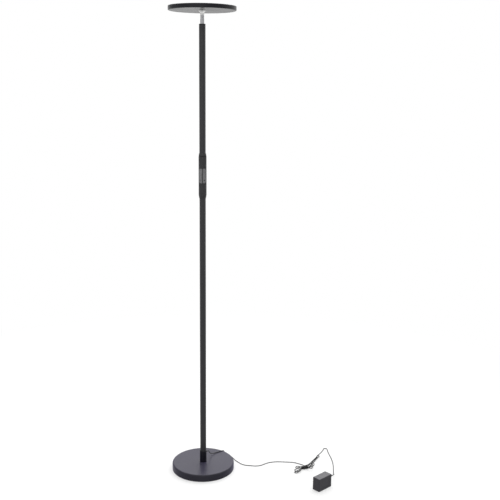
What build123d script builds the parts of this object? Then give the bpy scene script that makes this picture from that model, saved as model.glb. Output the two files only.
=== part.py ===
"""Torchiere floor lamp: a tilting disc head on a slim pole, two push keys and a wall adapter on its lead.

Millimetres, +Z up. The origin is the middle of the base on the floor, and the keys face -Y.
"""
import math
import os

from build123d import *

os.makedirs("parts", exist_ok=True)

# The whole lamp
lamp_height = 1780.0
base_diameter = 245.0
base_height = 28.5
head_diameter = 246.0
head_thickness = 15.0
pole_diameter = 23.6
pole_wall = 1.4
cord_diameter = 3.0

# Fits
seat_gap = 0.05       # radial play of a piece pushed or screwed into another
running_gap = 0.06    # radial play of a turning fit
panel_gap = 0.35      # play around a key or a lid
face_gap = 0.1        # play between faces that slide on each other

# Base
base_wall = 1.5
base_edge_radius = 5.0
rim_lift = 1.5
foot_height = 2.0
foot_radius = 9.0
foot_count = 6
foot_inset = 20.0
tray_thickness = 2.0
tray_rib = 5.0
tray_hub_radius = 34.0
weight_thickness = 12.0
bolt_radius = 3.95
bolt_hole_radius = 4.5
bolt_head_height = 5.3
bolt_across_flats = 13.0
bolt_depth_in_pole = 15.0
washer_radius = 10.0
washer_thickness = 1.6
spring_washer_radius = 7.4
spring_washer_thickness = 2.0

# Pole and its foot
collar_wall = 1.4
collar_height = 47.5
collar_chamfer = 1.0
insert_length = 18.0
pole_joint_height = 562.0
coupler_length = 50.0
coupler_wall = 1.6

# Cord outlet at the foot of the pole
outlet_angle = 50.0
outlet_height = 63.0
outlet_hole_radius = 3.0
grommet_flange_radius = 4.4
grommet_flange_thickness = 1.6
grommet_nose_length = 6.0
grommet_tip_radius = 2.1
grommet_lip_thickness = 0.9
lead_radius = 1.5
lead_bend_radius = 6.5

# Control sleeve
socket_wall = 2.9
sleeve_wall = 1.75
sleeve_taper = 2.2
lower_taper_length = 12.0
upper_taper_length = 9.0
sleeve_groove = (1.0, 2.4)
taper_lip = 0.3
lower_socket = 41.0
upper_socket = 44.0
chamber_below_keys = 16.5
chamber_above_keys = 12.0
key_height = 54.0
key_centre_height = 1174.0
key_side_inset = 1.9
key_slit = 1.2
key_corner_share = 0.48
key_thickness = 2.05
key_lip_thickness = 1.5
key_lip_overhang = 1.0
key_rear = 3.0
key_stem_radius = 1.5
key_travel = 0.7
switch_size = 6.0
switch_depth = 3.0
switch_plunger = 0.8
board_front = 1.0
board_thickness = 1.6
board_width = 21.0
board_margin = 1.5
boss_radius = 3.0
boss_clear = 2.0
screw_radius = 1.4
screw_head_radius = 2.6
screw_head_height = 2.0
screw_length = 17.0
screw_head_depth = 9.0
rail_width = 1.2
plug_block = (5.0, 4.4, 8.0)
lead_x = 4.9

# Neck and tilting joint
neck_rise = 49.0
cap_thickness = 3.0
bushing_length = 25.0
neck_radius = 7.15
neck_spigot_radius = 5.5
neck_spigot_seat = 9.0
neck_bore_radius = 2.6
neck_nut_thickness = 5.0
neck_tail = 3.0
pivot_drop = 22.0
tongue_thickness = 5.2
washer_gap = 0.6
friction_washer_thickness = 0.5
friction_washer_radius = 5.5
pin_radius = 2.0
knuckle_play = 0.5
mount_flange_radius = 13.0
mount_flange_thickness = 1.6
mount_flare_height = 8.5
mount_screw_circle = 9.0
mount_screw_count = 3
mount_screw_radius = 1.2
mount_screw_head_radius = 2.2
mount_screw_head_height = 1.3
mount_screw_length = 8.0

# Head
pan_floor = 2.0
pan_wall = 2.0
pan_edge_radius = 2.5
ledge_width = 3.5
ring_height = 3.0
ring_cover = 7.0
ring_edge_radius = 1.2
diffuser_thickness = 2.6
spreader_thickness = 2.0
spreader_margin = 3.5
led_board_thickness = 1.6
led_board_margin = 2.0
head_well_radius = 13.5
led_size = (2.8, 3.5, 0.7)
led_rings = ((58.0, 24), (96.0, 36))
head_lead_radius = 1.0
head_lead_bend = 3.5
head_plug = (7.0, 6.0, 3.2)

# Wall adapter, lying on one side: its own x runs along the case, its own y through it
adapter_corner = (449.3, -194.0)
adapter_turn = 44.0
adapter_length = 71.0
adapter_depth = 34.0
adapter_height = 51.5
adapter_wall = 2.2
adapter_edge_radius = 3.0
adapter_front_depth = 20.0
face_recess = (44.0, 0.5, 30.0)
prong_width = 6.35
prong_thickness = 1.5
prong_length = 17.0
prong_spacing = 12.7
prong_root = 6.0
prong_from_end = 22.0
prong_hole_radius = 1.6
relief_height = 35.0
relief_inset = 12.0
relief_neck_radius = 3.0
relief_lip_radius = 4.2
relief_lip_thickness = 1.2
relief_length = 17.0
relief_root_radius = 4.2
relief_tip_radius = 2.2
relief_groove_depth = 0.6
relief_groove_width = 1.4
relief_groove_count = 4
adapter_board_gap = 6.0
transformer_size = (24.0, 13.0, 21.0)
transformer_from_end = 44.0
capacitor_radius = 4.8
capacitor_length = 20.0
capacitor_from_end = 23.0

# Cord hank: strands pass the tie in rows and columns, and each loop fans out to one side of it
hank_centre = Vector(404, -8, 0)
waist_heading = 12.0
waist_half_length = 6.0
column_step = 2.5
row_step = 3.6
first_row_height = 2.6
right_root_shift = 9.0
floor_line = 1.6
tie_width = 4.0
tie_thickness = 0.6
tie_half_opening = 4.2
tie_corner_radius = 2.6

UP = (Align.CENTER, Align.CENTER, Align.MIN)
LOW_CORNER = (Align.MIN, Align.MIN, Align.MIN)

# Heights and radii that follow from the sizes above
base_radius = base_diameter / 2
head_radius = head_diameter / 2
pole_radius = pole_diameter / 2
pole_bore = pole_radius - pole_wall
cord_radius = cord_diameter / 2
tray_top = foot_height + tray_thickness
weight_top = base_height - base_wall
weight_bottom = weight_top - weight_thickness
inner_base_radius = base_radius - base_wall - panel_gap
bolt_seat = weight_bottom - washer_thickness - spring_washer_thickness
head_bottom = lamp_height - head_thickness
pivot_height = head_bottom - pivot_drop
pole_top = head_bottom - neck_rise
cap_top = pole_top + cap_thickness
collar_radius = pole_radius + seat_gap + collar_wall
socket_radius = pole_radius + seat_gap
sleeve_radius = socket_radius + socket_wall
keys_half_width = sleeve_radius - key_side_inset
key_width = keys_half_width - key_slit / 2
key_corner_radius = key_corner_share * key_width
key_bottom = key_centre_height - key_height / 2
key_top = key_centre_height + key_height / 2
chamber_bottom = key_bottom - chamber_below_keys
chamber_top = key_top + chamber_above_keys
sleeve_bottom = chamber_bottom - lower_socket
sleeve_top = chamber_top + upper_socket
groove_top = sleeve_top - upper_taper_length
groove_bottom = groove_top - sleeve_groove[1]
chamber_radius = sleeve_radius - sleeve_wall


def bolt_head_flats(across_flats):
    """Corner radius of a hexagon from its width across the flats."""
    return across_flats / math.sqrt(3)


# Base cover: a spun steel shell with a rounded top edge and a hole for the pole's bolt
with BuildPart() as base_cover:
    with BuildSketch(Plane.XZ) as cover_section:
        with BuildLine():
            Polyline(
                (bolt_hole_radius, base_height),
                (base_radius, base_height),
                (base_radius, rim_lift),
                (base_radius - base_wall, rim_lift),
                (base_radius - base_wall, base_height - base_wall),
                (bolt_hole_radius, base_height - base_wall),
                close=True,
            )
        make_face()
        outer_corner = cover_section.vertices().sort_by_distance((base_radius, base_height))[0]
        fillet(outer_corner, base_edge_radius)
        inner_corner = cover_section.vertices().sort_by_distance(
            (base_radius - base_wall, base_height - base_wall)
        )[0]
        fillet(inner_corner, base_edge_radius - base_wall)
    revolve(axis=Axis.Z)
base_cover.part.label = "base_cover"
export_step(base_cover.part, "parts/base_cover.step")

# Base weight: an iron disc clamped under the cover, with its top edge clear of the cover's bend
with BuildPart() as base_weight:
    with Locations((0, 0, weight_bottom)):
        Cylinder(inner_base_radius, weight_thickness, align=UP)
    Hole(bolt_hole_radius)
    chamfer(base_weight.edges().group_by(Axis.Z)[-1].sort_by(SortBy.RADIUS)[-1], base_edge_radius)
base_weight.part.label = "base_weight"
export_step(base_weight.part, "parts/base_weight.step")

# Base tray: the moulded floor of the base, with a hub and a rim that reach up to the weight
with BuildPart() as base_tray:
    with Locations((0, 0, foot_height)):
        Cylinder(inner_base_radius, tray_thickness, align=UP)
    with BuildSketch(Plane.XY.offset(tray_top)):
        Circle(inner_base_radius)
        Circle(inner_base_radius - tray_rib, mode=Mode.SUBTRACT)
        Circle(tray_hub_radius)
        Circle(tray_hub_radius - tray_rib, mode=Mode.SUBTRACT)
    extrude(amount=weight_bottom - tray_top)
    Hole(bolt_across_flats)
base_tray.part.label = "base_tray"
export_step(base_tray.part, "parts/base_tray.step")

# Base feet: soft pads stuck to the tray
with BuildPart() as base_feet:
    with PolarLocations(base_radius - foot_inset, foot_count):
        Cylinder(foot_radius, foot_height, align=UP)
    chamfer(base_feet.edges().group_by(Axis.Z)[0], foot_height / 4)
base_feet.part.label = "base_feet"
export_step(base_feet.part, "parts/base_feet.step")

# Base washer, spring washer and bolt: the pole is pulled down onto the cover from below
with BuildPart() as base_washer:
    with BuildSketch(Plane.XY.offset(weight_bottom - washer_thickness)):
        Circle(washer_radius)
        Circle(bolt_hole_radius, mode=Mode.SUBTRACT)
    extrude(amount=washer_thickness)
base_washer.part.label = "base_washer"
export_step(base_washer.part, "parts/base_washer.step")

with BuildPart() as spring_washer:
    with BuildSketch(Plane.XY.offset(bolt_seat)):
        Circle(spring_washer_radius)
        Circle(bolt_hole_radius, mode=Mode.SUBTRACT)
        with Locations((spring_washer_radius, 0)):
            Rectangle(2 * spring_washer_radius - bolt_hole_radius, 1.0, rotation=12, mode=Mode.SUBTRACT)
    extrude(amount=spring_washer_thickness)
spring_washer.part.label = "spring_washer"
export_step(spring_washer.part, "parts/spring_washer.step")

with BuildPart() as base_bolt:
    with BuildSketch(Plane.XY.offset(bolt_seat - bolt_head_height)):
        RegularPolygon(bolt_head_flats(bolt_across_flats), 6)
    extrude(amount=bolt_head_height)
    with Locations((0, 0, bolt_seat)):
        Cylinder(bolt_radius, base_height + bolt_depth_in_pole - bolt_seat, align=UP)
    chamfer(base_bolt.edges().group_by(Axis.Z)[-1], bolt_radius / 5)
base_bolt.part.label = "base_bolt"
export_step(base_bolt.part, "parts/base_bolt.step")

# Pole insert: the threaded steel plug in the foot of the pole
with BuildPart() as pole_insert:
    with BuildSketch(Plane.XY.offset(base_height)):
        Circle(pole_bore - seat_gap)
        Circle(bolt_radius + seat_gap, mode=Mode.SUBTRACT)
    extrude(amount=insert_length)
pole_insert.part.label = "pole_insert"
export_step(pole_insert.part, "parts/pole_insert.step")

# Lower pole: the first length of steel tube, with a hole for the cord near its foot
outlet_direction = Vector(1, 0, 0).rotate(Axis.Z, outlet_angle)
outlet_plane = Plane(origin=(0, 0, outlet_height), x_dir=(0, 0, 1), z_dir=outlet_direction)
with BuildPart() as lower_pole:
    with BuildSketch(Plane.XY.offset(base_height)):
        Circle(pole_radius)
        Circle(pole_bore, mode=Mode.SUBTRACT)
    extrude(amount=pole_joint_height - base_height)
    with BuildSketch(outlet_plane):
        Circle(outlet_hole_radius)
    extrude(amount=collar_radius, mode=Mode.SUBTRACT)
lower_pole.part.label = "lower_pole"
export_step(lower_pole.part, "parts/lower_pole.step")

# Foot collar: a sleeve that dresses the foot of the pole
with BuildPart() as foot_collar:
    with BuildSketch(Plane.XY.offset(base_height)):
        Circle(collar_radius)
        Circle(pole_radius + seat_gap, mode=Mode.SUBTRACT)
    extrude(amount=collar_height)
    collar_lip = foot_collar.edges().group_by(Axis.Z)[-1].sort_by(SortBy.RADIUS)[-1]
    chamfer(collar_lip, min(collar_chamfer, 0.8 * collar_wall))
    with BuildSketch(outlet_plane):
        Circle(outlet_hole_radius)
    extrude(amount=2 * collar_radius, mode=Mode.SUBTRACT)
foot_collar.part.label = "foot_collar"
export_step(foot_collar.part, "parts/foot_collar.step")

# Cord grommet: a rubber bush through both walls, with a lip inside and a tapered nose outside
flange_face = collar_radius + grommet_flange_thickness
grommet_tip = flange_face + grommet_nose_length
lip_reach = math.sqrt(pole_bore**2 - grommet_flange_radius**2) - seat_gap
lip_face = lip_reach - grommet_lip_thickness
with BuildPart() as cord_grommet:
    with BuildSketch(outlet_plane.offset(lip_face)):
        Circle(grommet_flange_radius)
    extrude(amount=grommet_lip_thickness)
    with BuildSketch(outlet_plane.offset(lip_reach)):
        Circle(outlet_hole_radius - seat_gap)
    extrude(amount=collar_radius - lip_reach)
    with BuildSketch(outlet_plane.offset(collar_radius)):
        Circle(grommet_flange_radius)
    extrude(amount=grommet_flange_thickness)
    with BuildSketch(outlet_plane.offset(flange_face)):
        Circle(outlet_hole_radius)
    with BuildSketch(outlet_plane.offset(grommet_tip)):
        Circle(grommet_tip_radius)
    loft()
cord_grommet.part.label = "cord_grommet"
export_step(cord_grommet.part, "parts/cord_grommet.step")

# Pole coupler: a threaded sleeve inside the joint of the two lower tubes
with BuildPart() as pole_coupler:
    with BuildSketch(Plane.XY.offset(pole_joint_height - coupler_length / 2)):
        Circle(pole_bore - seat_gap)
        Circle(pole_bore - seat_gap - coupler_wall, mode=Mode.SUBTRACT)
    extrude(amount=coupler_length)
pole_coupler.part.label = "pole_coupler"
export_step(pole_coupler.part, "parts/pole_coupler.step")

# Middle pole: the second tube, up into the sleeve's lower socket
with BuildPart() as middle_pole:
    with BuildSketch(Plane.XY.offset(pole_joint_height)):
        Circle(pole_radius)
        Circle(pole_bore, mode=Mode.SUBTRACT)
    extrude(amount=chamber_bottom - pole_joint_height)
middle_pole.part.label = "middle_pole"
export_step(middle_pole.part, "parts/middle_pole.step")

# Upper pole: the third tube, from the sleeve's upper socket to the cap
with BuildPart() as upper_pole:
    with BuildSketch(Plane.XY.offset(chamber_top)):
        Circle(pole_radius)
        Circle(pole_bore, mode=Mode.SUBTRACT)
    extrude(amount=pole_top - chamber_top)
upper_pole.part.label = "upper_pole"
export_step(upper_pole.part, "parts/upper_pole.step")

# Control sleeve: two moulded half shells that grip both tubes and leave a chamber between them.
# Both ends taper to the tubes, and a narrow groove runs round under the upper taper.
boss_heights = (
    key_bottom - key_lip_overhang - boss_clear - boss_radius,
    key_top + key_lip_overhang + boss_clear + boss_radius,
)
boss_reach = chamber_radius + sleeve_wall / 4
with BuildPart() as sleeve_blank:
    with BuildSketch(Plane.XZ):
        with BuildLine():
            Polyline(
                (socket_radius, sleeve_top),
                (socket_radius, chamber_top),
                (chamber_radius, chamber_top),
                (chamber_radius, chamber_bottom),
                (socket_radius, chamber_bottom),
                (socket_radius, sleeve_bottom),
                (sleeve_radius - sleeve_taper, sleeve_bottom),
                (sleeve_radius, sleeve_bottom + lower_taper_length),
                (sleeve_radius, groove_bottom),
                (sleeve_radius - sleeve_groove[0], groove_bottom),
                (sleeve_radius - sleeve_groove[0], groove_top),
                (sleeve_radius - taper_lip, groove_top),
                (sleeve_radius - sleeve_taper, sleeve_top),
                close=True,
            )
        make_face()
    revolve(axis=Axis.Z)

with BuildPart() as sleeve_front:
    add(sleeve_blank.part)
    split(bisect_by=Plane.XZ, keep=Keep.TOP)
    with BuildSketch(Plane.XZ):
        with Locations(*[(0, height) for height in boss_heights]):
            Circle(boss_radius)
    extrude(amount=boss_reach)
    with BuildSketch(Plane.XZ):
        with Locations(*[(0, height) for height in boss_heights]):
            Circle(screw_radius + seat_gap)
    extrude(amount=screw_length - screw_head_depth + 1, mode=Mode.SUBTRACT)
    with BuildSketch(Plane.XZ):
        with Locations((0, key_centre_height)):
            RectangleRounded(
                2 * (keys_half_width + panel_gap),
                key_height + 2 * panel_gap,
                key_corner_radius + panel_gap,
            )
    extrude(amount=2 * sleeve_radius, mode=Mode.SUBTRACT)
sleeve_front.part.label = "sleeve_front"
export_step(sleeve_front.part, "parts/sleeve_front.step")

board_back = board_front + board_thickness
board_bottom = boss_heights[0] + boss_radius + board_margin
board_height = boss_heights[1] - boss_radius - board_margin - board_bottom
rail_x = board_width / 2 - rail_width
with BuildPart() as sleeve_rear:
    add(sleeve_blank.part)
    split(bisect_by=Plane.XZ, keep=Keep.BOTTOM)
    with BuildSketch(Plane.XZ):
        with Locations(*[(0, height) for height in boss_heights]):
            Circle(boss_radius)
    extrude(amount=-boss_reach)
    with BuildSketch(Plane.XZ.offset(-board_back)):
        with Locations((-rail_x, board_bottom + board_height / 2), (rail_x, board_bottom + board_height / 2)):
            Rectangle(rail_width, board_height)
    extrude(amount=board_back - math.sqrt(boss_reach**2 - (rail_x - rail_width / 2) ** 2))
    with BuildSketch(Plane.XZ):
        with Locations(*[(0, height) for height in boss_heights]):
            Circle(screw_radius + seat_gap)
    extrude(amount=-2 * sleeve_radius, mode=Mode.SUBTRACT)
    with BuildSketch(Plane.XZ.offset(-screw_head_depth)):
        with Locations(*[(0, height) for height in boss_heights]):
            Circle(screw_head_radius + seat_gap)
    extrude(amount=-2 * sleeve_radius, mode=Mode.SUBTRACT)
sleeve_rear.part.label = "sleeve_rear"
export_step(sleeve_rear.part, "parts/sleeve_rear.step")

# Sleeve screws: two from the rear
with BuildPart() as sleeve_screws:
    with BuildSketch(Plane.XZ.offset(-screw_head_depth)):
        with Locations(*[(0, height) for height in boss_heights]):
            Circle(screw_head_radius)
    extrude(amount=-screw_head_height)
    with BuildSketch(Plane.XZ.offset(-screw_head_depth)):
        with Locations(*[(0, height) for height in boss_heights]):
            Circle(screw_radius)
    extrude(amount=screw_length)
    with BuildSketch(Plane.XZ.offset(-screw_head_depth - screw_head_height)):
        for height in boss_heights:
            with Locations((0, height)):
                Rectangle(screw_head_radius, screw_head_radius / 4)
                Rectangle(screw_head_radius / 4, screw_head_radius)
    extrude(amount=screw_head_height / 2, mode=Mode.SUBTRACT)
sleeve_screws.part.label = "sleeve_screws"
export_step(sleeve_screws.part, "parts/sleeve_screws.step")

# Control board, its two tact switches and the two plug blocks on its back
with BuildPart() as control_board:
    with BuildSketch(Plane.XZ.offset(-board_front)):
        with Locations((0, board_bottom + board_height / 2)):
            Rectangle(board_width, board_height)
    extrude(amount=-board_thickness)
control_board.part.label = "control_board"
export_step(control_board.part, "parts/control_board.step")

key_x = (key_slit / 2 + keys_half_width) / 2
switch_front = board_front - switch_depth
plunger_face = switch_front - switch_plunger
with BuildPart() as key_switches:
    with BuildSketch(Plane.XZ.offset(-board_front)):
        with Locations((-key_x, key_centre_height), (key_x, key_centre_height)):
            Rectangle(switch_size, switch_size)
    extrude(amount=switch_depth)
    with BuildSketch(Plane.XZ.offset(-switch_front)):
        with Locations((-key_x, key_centre_height), (key_x, key_centre_height)):
            Circle(switch_size / 4)
    extrude(amount=switch_plunger)
key_switches.part.label = "key_switches"
export_step(key_switches.part, "parts/key_switches.step")

lead_y = board_back + lead_radius + 0.2
lower_plug = board_bottom + board_margin + plug_block[2]
upper_plug = board_bottom + board_height - board_margin - 2 * plug_block[2]
with BuildPart() as board_plugs:
    with Locations((lead_x, board_back, lower_plug), (lead_x, board_back, upper_plug)):
        Box(*plug_block, align=(Align.CENTER, Align.MIN, Align.MIN))
board_plugs.part.label = "board_plugs"
export_step(board_plugs.part, "parts/board_plugs.step")

# Keys: two tall grey caps side by side, each pressed straight back onto its switch. Their outer corners
# are rounded, and a lip stands past both ends behind the sleeve's wall.
key_skin = sleeve_radius - key_thickness
stem_end = plunger_face - key_travel - face_gap

with BuildPart() as key_left:
    with BuildSketch(Plane.XZ.offset(key_rear)):
        with Locations((-key_x, key_centre_height)):
            RectangleRounded(key_width, key_height, key_corner_radius)
        with Locations((-(key_slit + key_corner_radius) / 2, key_centre_height)):
            Rectangle(key_corner_radius, key_height)
    extrude(amount=sleeve_radius)
    Cylinder(sleeve_radius, 2 * sleeve_top, mode=Mode.INTERSECT)
    Cylinder(key_skin, 2 * sleeve_top, mode=Mode.SUBTRACT)
    with BuildSketch(Plane.XY.offset(key_bottom - key_lip_overhang)):
        Circle(key_skin)
        Circle(key_skin - key_lip_thickness, mode=Mode.SUBTRACT)
        with Locations((-key_x, -sleeve_radius)):
            Rectangle(key_width - key_corner_radius, 1.4 * sleeve_radius, mode=Mode.INTERSECT)
    extrude(amount=key_height + 2 * key_lip_overhang)
    with BuildSketch(Plane.XZ.offset(-stem_end)):
        with Locations((-key_x, key_centre_height)):
            Circle(key_stem_radius)
    extrude(amount=math.sqrt(key_skin**2 - (key_x + key_stem_radius) ** 2) + stem_end)
key_left.part.label = "key_left"
export_step(key_left.part, "parts/key_left.step")

with BuildPart() as key_right:
    mirror(key_left.part, about=Plane.YZ)
key_right.part.label = "key_right"
export_step(key_right.part, "parts/key_right.step")

# Leads inside the pole: one from the grommet to the board, one from the board to the neck
lead_start = outlet_direction * lip_face + Vector(0, 0, outlet_height)
lead_turn = outlet_direction * (lip_face - lead_bend_radius - 0.5) + Vector(0, 0, outlet_height)
with BuildPart() as lower_lead:
    with BuildLine() as lower_route:
        FilletPolyline(
            lead_start,
            lead_turn,
            lead_turn + Vector(0, 0, 60),
            (lead_x, lead_y, outlet_height + 140),
            (lead_x, lead_y, lower_plug),
            radius=(lead_bend_radius, 20 * lead_radius, 20 * lead_radius),
        )
    with BuildSketch(Plane(origin=lower_route.wire() @ 0, z_dir=lower_route.wire() % 0)):
        Circle(lead_radius)
    sweep(path=lower_route.wire())
lower_lead.part.label = "lower_lead"
export_step(lower_lead.part, "parts/lower_lead.step")

neck_nut_top = pole_top - bushing_length - face_gap
neck_end = neck_nut_top - neck_nut_thickness - neck_tail
with BuildPart() as upper_lead:
    with BuildLine() as upper_route:
        FilletPolyline(
            (lead_x, lead_y, upper_plug + plug_block[2]),
            (lead_x, lead_y, neck_end - 60),
            (0, 0, neck_end - 25),
            (0, 0, neck_end - 3),
            radius=20 * lead_radius,
        )
    with BuildSketch(Plane(origin=upper_route.wire() @ 0, z_dir=upper_route.wire() % 0)):
        Circle(lead_radius)
    sweep(path=upper_route.wire())
upper_lead.part.label = "upper_lead"
export_step(upper_lead.part, "parts/upper_lead.step")

# Pole cap: the black bush that closes the pole and carries the turning neck
spigot_seat = cap_top - neck_spigot_seat - face_gap
with BuildPart() as pole_cap:
    with Locations((0, 0, pole_top - bushing_length)):
        Cylinder(pole_bore - seat_gap, bushing_length, align=UP)
    with Locations((0, 0, pole_top)):
        Cylinder(pole_radius, cap_thickness, align=UP)
    cap_rim = pole_cap.edges().group_by(Axis.Z)[-1]
    fillet(cap_rim, cap_thickness / 4)
    with Locations((0, 0, cap_top)):
        Hole(neck_spigot_radius + running_gap)
    with Locations((0, 0, spigot_seat)):
        Cylinder(neck_radius + running_gap, 2 * neck_spigot_seat, align=UP, mode=Mode.SUBTRACT)
pole_cap.part.label = "pole_cap"
export_step(pole_cap.part, "parts/pole_cap.step")

# Neck: a chromed bar that turns in the cap, with a slot and a rounded fork for the tongue
fork_slot = tongue_thickness + 2 * washer_gap
barrel_plane = Plane(origin=(0, 0, pivot_height), x_dir=(1, 0, 0), z_dir=(0, -1, 0))
with BuildPart() as neck_fork:
    with Locations((0, 0, spigot_seat + face_gap)):
        Cylinder(neck_radius, pivot_height - spigot_seat - face_gap, align=UP)
    with BuildSketch(barrel_plane):
        Circle(neck_radius)
    extrude(amount=neck_radius, both=True)
    with Locations((0, 0, spigot_seat + face_gap)):
        Cylinder(neck_radius, 2 * lamp_height, align=UP, mode=Mode.INTERSECT)
    with BuildSketch(Plane.XZ):
        with Locations((0, pivot_height - neck_radius - knuckle_play)):
            Rectangle(3 * neck_radius, 4 * neck_radius, align=(Align.CENTER, Align.MIN))
    extrude(amount=fork_slot / 2, both=True, mode=Mode.SUBTRACT)
    with Locations((0, 0, neck_end)):
        Cylinder(neck_spigot_radius, spigot_seat + face_gap - neck_end, align=UP)
    with Locations((0, 0, neck_end)):
        Cylinder(
            neck_bore_radius, pivot_height - neck_radius - neck_end, align=UP, mode=Mode.SUBTRACT
        )
    with BuildSketch(barrel_plane):
        Circle(pin_radius)
    extrude(amount=2 * neck_radius, both=True, mode=Mode.SUBTRACT)
neck_fork.part.label = "neck_fork"
export_step(neck_fork.part, "parts/neck_fork.step")

# Neck nut: holds the neck down inside the pole
with BuildPart() as neck_nut:
    with BuildSketch(Plane.XY.offset(neck_nut_top - neck_nut_thickness)):
        RegularPolygon(pole_bore - 1.0, 6)
        Circle(neck_spigot_radius + seat_gap, mode=Mode.SUBTRACT)
    extrude(amount=neck_nut_thickness)
neck_nut.part.label = "neck_nut"
export_step(neck_nut.part, "parts/neck_nut.step")

# Tilt pin, fixed in the fork, and the two friction washers beside the tongue
with BuildPart() as tilt_pin:
    with BuildSketch(barrel_plane):
        Circle(pin_radius)
    extrude(amount=neck_radius, both=True)
    Cylinder(neck_radius, 2 * lamp_height, mode=Mode.INTERSECT)
tilt_pin.part.label = "tilt_pin"
export_step(tilt_pin.part, "parts/tilt_pin.step")

with BuildPart() as friction_washers:
    for side in (1, -1):
        with BuildSketch(barrel_plane.offset(side * (tongue_thickness + washer_gap) / 2)):
            Circle(friction_washer_radius)
            Circle(pin_radius + seat_gap, mode=Mode.SUBTRACT)
        extrude(amount=friction_washer_thickness / 2, both=True)
friction_washers.part.label = "friction_washers"
export_step(friction_washers.part, "parts/friction_washers.step")

# Head mount: the chromed tongue that flares out into a flange under the head
tongue_radius = neck_radius - knuckle_play / 2
shoulder = pivot_height + neck_radius + knuckle_play
flare_bottom = head_bottom - mount_flange_thickness - mount_flare_height
with BuildPart() as head_mount:
    with BuildSketch(barrel_plane):
        Circle(tongue_radius)
        Rectangle(2 * tongue_radius, shoulder - pivot_height + 1, align=(Align.CENTER, Align.MIN))
    extrude(amount=tongue_thickness / 2, both=True)
    with BuildSketch(Plane.XZ) as mount_section:
        with BuildLine():
            Line((0, shoulder), (neck_radius, shoulder))
            Line((neck_radius, shoulder), (neck_radius, flare_bottom))
            flare = TangentArc(
                (neck_radius, flare_bottom),
                (mount_flange_radius, head_bottom - mount_flange_thickness),
                tangent=(0, 1),
            )
            Polyline(flare @ 1, (mount_flange_radius, head_bottom), (0, head_bottom), (0, shoulder))
        make_face()
    revolve(axis=Axis.Z)
    with BuildSketch(barrel_plane):
        Circle(pin_radius + running_gap)
    extrude(amount=2 * tongue_thickness, both=True, mode=Mode.SUBTRACT)
    with BuildSketch(Plane.XY.offset(head_bottom)):
        Circle(head_lead_radius + seat_gap)
        with PolarLocations(mount_screw_circle, mount_screw_count):
            Circle(mount_screw_radius + seat_gap)
    extrude(amount=-(mount_screw_length - pan_floor) - 1, mode=Mode.SUBTRACT)
head_mount.part.label = "head_mount"
export_step(head_mount.part, "parts/head_mount.step")

# Head pan: the cast dish, with a thick lower wall whose top carries the diffuser
ring_bottom = lamp_height - ring_height
ledge_top = ring_bottom - diffuser_thickness
pan_floor_top = head_bottom + pan_floor
pan_bore = head_radius - pan_wall
ledge_bore = pan_bore - ledge_width
with BuildPart() as head_pan:
    with BuildSketch(Plane.XZ) as pan_section:
        with BuildLine():
            Polyline(
                (0, head_bottom),
                (head_radius, head_bottom),
                (head_radius, ring_bottom),
                (pan_bore, ring_bottom),
                (pan_bore, ledge_top),
                (ledge_bore, ledge_top),
                (ledge_bore, pan_floor_top),
                (0, pan_floor_top),
                close=True,
            )
        make_face()
        fillet(pan_section.vertices().sort_by_distance((head_radius, head_bottom))[0], pan_edge_radius)
    revolve(axis=Axis.Z)
    with BuildSketch(Plane.XY.offset(head_bottom)):
        Circle(head_lead_radius + seat_gap)
        with PolarLocations(mount_screw_circle, mount_screw_count):
            Circle(mount_screw_radius + seat_gap)
    extrude(amount=pan_floor, mode=Mode.SUBTRACT)
head_pan.part.label = "head_pan"
export_step(head_pan.part, "parts/head_pan.step")

# Mount screws: from inside the pan down into the mount's flange
with BuildPart() as mount_screws:
    with BuildSketch(Plane.XY.offset(pan_floor_top)):
        with PolarLocations(mount_screw_circle, mount_screw_count):
            Circle(mount_screw_head_radius)
    extrude(amount=mount_screw_head_height)
    with BuildSketch(Plane.XY.offset(pan_floor_top)):
        with PolarLocations(mount_screw_circle, mount_screw_count):
            Circle(mount_screw_radius)
    extrude(amount=-mount_screw_length)
mount_screws.part.label = "mount_screws"
export_step(mount_screws.part, "parts/mount_screws.step")

# Heat spreader and lamp board: two plates on the pan's floor, open in the middle
spreader_radius = ledge_bore - spreader_margin
with BuildPart() as heat_spreader:
    with BuildSketch(Plane.XY.offset(pan_floor_top)):
        Circle(spreader_radius)
        Circle(head_well_radius, mode=Mode.SUBTRACT)
    extrude(amount=spreader_thickness)
heat_spreader.part.label = "heat_spreader"
export_step(heat_spreader.part, "parts/heat_spreader.step")

led_board_bottom = pan_floor_top + spreader_thickness
led_board_top = led_board_bottom + led_board_thickness
with BuildPart() as led_board:
    with BuildSketch(Plane.XY.offset(led_board_bottom)):
        Circle(spreader_radius - led_board_margin)
        Circle(head_well_radius, mode=Mode.SUBTRACT)
    extrude(amount=led_board_thickness)
led_board.part.label = "led_board"
export_step(led_board.part, "parts/led_board.step")

# Light chips: two rings of them on the board
with BuildPart() as led_chips:
    for ring_radius, chip_count in led_rings:
        with BuildSketch(Plane.XY.offset(led_board_top)):
            with PolarLocations(ring_radius, chip_count):
                Rectangle(led_size[0], led_size[1])
        extrude(amount=led_size[2])
led_chips.part.label = "led_chips"
export_step(led_chips.part, "parts/led_chips.step")

# Head plug and lead: the short wire that rises out of the mount and turns to the board
plug_x = head_well_radius + 1.0
wire_height = led_board_top + head_plug[2] / 2
with BuildPart() as head_plug_block:
    with Locations((plug_x, 0, led_board_top)):
        Box(*head_plug, align=(Align.MIN, Align.CENTER, Align.MIN))
head_plug_block.part.label = "head_plug"
export_step(head_plug_block.part, "parts/head_plug.step")

with BuildPart() as head_lead:
    with BuildLine() as head_route:
        FilletPolyline(
            (0, 0, head_bottom - mount_flange_thickness),
            (0, 0, wire_height),
            (plug_x, 0, wire_height),
            radius=head_lead_bend,
        )
    with BuildSketch(Plane(origin=head_route.wire() @ 0, z_dir=head_route.wire() % 0)):
        Circle(head_lead_radius)
    sweep(path=head_route.wire())
head_lead.part.label = "head_lead"
export_step(head_lead.part, "parts/head_lead.step")

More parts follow.
